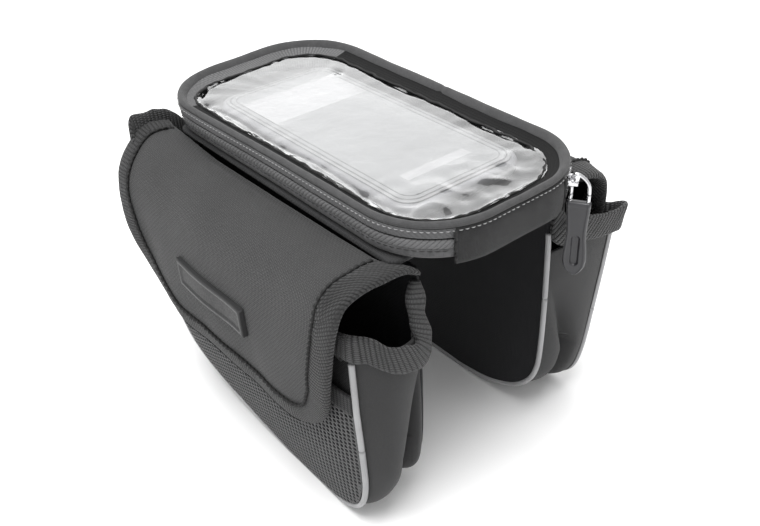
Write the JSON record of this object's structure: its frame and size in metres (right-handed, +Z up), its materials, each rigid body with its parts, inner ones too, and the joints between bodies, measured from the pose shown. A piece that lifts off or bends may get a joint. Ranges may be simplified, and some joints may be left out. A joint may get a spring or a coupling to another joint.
{
  "type": "top tube phone bag",
  "caption": "Zipped phone case with a clear lid on a saddle, with a flapped and mesh-pocketed cloth bag hanging on each side of a bicycle's top tube.",
  "frame": {"origin": "middle of the saddle's underside, which rests on the top tube", "axes": "+X along the top tube to the end where the lid is hinged, +Y to the side where the zip ends, +Z up"},
  "size_m": [0.2099, 0.1694, 0.1554],
  "materials": {
    "black_cloth": "woven, charcoal",
    "black_tape": "ribbed tape, black",
    "plain_cloth": "plain, dark grey",
    "mesh_cloth": "open mesh, dark grey",
    "grey_piping": "satin, light grey",
    "clear_film": "clear, glossy",
    "rubber": "matt, black",
    "steel": "polished",
    "foam": "padded lining, grey",
    "screen_glass": "glossy, pale grey",
    "hook_and_loop": "hook and loop, black"
  },
  "bodies": {
    "carrier": {"case_end_wall": "plain_cloth", "case_floor": "foam", "case_wall": "plain_cloth", "gusset_left": "plain_cloth", "gusset_right": "plain_cloth", "inner_panel_left": "black_cloth", "inner_panel_right": "black_cloth", "loop_patch_left": "hook_and_loop", "loop_patch_right": "hook_and_loop", "mesh_hem_left": "black_tape", "mesh_hem_right": "black_tape", "mesh_pocket_left": "mesh_cloth", "mesh_pocket_right": "mesh_cloth", "outer_panel_left": "black_cloth", "outer_panel_right": "black_cloth", "phone_body": "rubber", "phone_cushion": "foam", "phone_screen": "screen_glass", "piping_inner_left": "grey_piping", "piping_inner_right": "grey_piping", "piping_outer_left": "grey_piping", "piping_outer_right": "grey_piping", "rim_binding_left": "black_tape", "rim_binding_right": "black_tape", "saddle_panel": "plain_cloth", "strap_front": "hook_and_loop", "strap_rear": "hook_and_loop", "zip_coil_lower": "black_tape", "zip_tape_lower": "black_tape"},
    "lid": {"lid_ring": "plain_cloth", "window_film": "clear_film", "zip_tape_upper": "black_tape", "zip_coil_upper": "black_tape"},
    "slider": {"zip_slider": "steel"},
    "pull": {"zip_pull_loop": "steel", "zip_pull_tab": "rubber"},
    "flap_left": {"flap_left": "black_cloth", "flap_binding_left": "black_tape", "badge_left": "rubber", "hook_patch_left": "hook_and_loop"},
    "flap_right": {"flap_right": "black_cloth", "flap_binding_right": "black_tape", "badge_right": "rubber", "hook_patch_right": "hook_and_loop"}
  },
  "joints": [
    {"name": "lid_hinge", "type": "hinge", "parent": "carrier", "child": "lid", "pos_m": [0.102, 0, 0.01695], "axis": [0, 1, 0], "range_deg": [0, 115]},
    {"name": "zip_slide", "type": "hinge", "parent": "carrier", "child": "slider", "pos_m": [0.068, 0.0145, 0.0125], "axis": [0, 0, 1], "range_deg": [0, 25]},
    {"name": "pull_swing", "type": "hinge", "parent": "slider", "child": "pull", "pos_m": [0.10078, 0.03498, 0.0125], "axis": [0.5299, -0.848, 0], "range_deg": [0, 90]},
    {"name": "flap_left_hinge", "type": "hinge", "parent": "carrier", "child": "flap_left", "pos_m": [0, -0.0515, 0.0008], "axis": [-1, 0, 0], "range_deg": [0, 90]},
    {"name": "flap_right_hinge", "type": "hinge", "parent": "carrier", "child": "flap_right", "pos_m": [0, 0.0515, 0.0008], "axis": [1, 0, 0], "range_deg": [0, 90]}
  ]
}
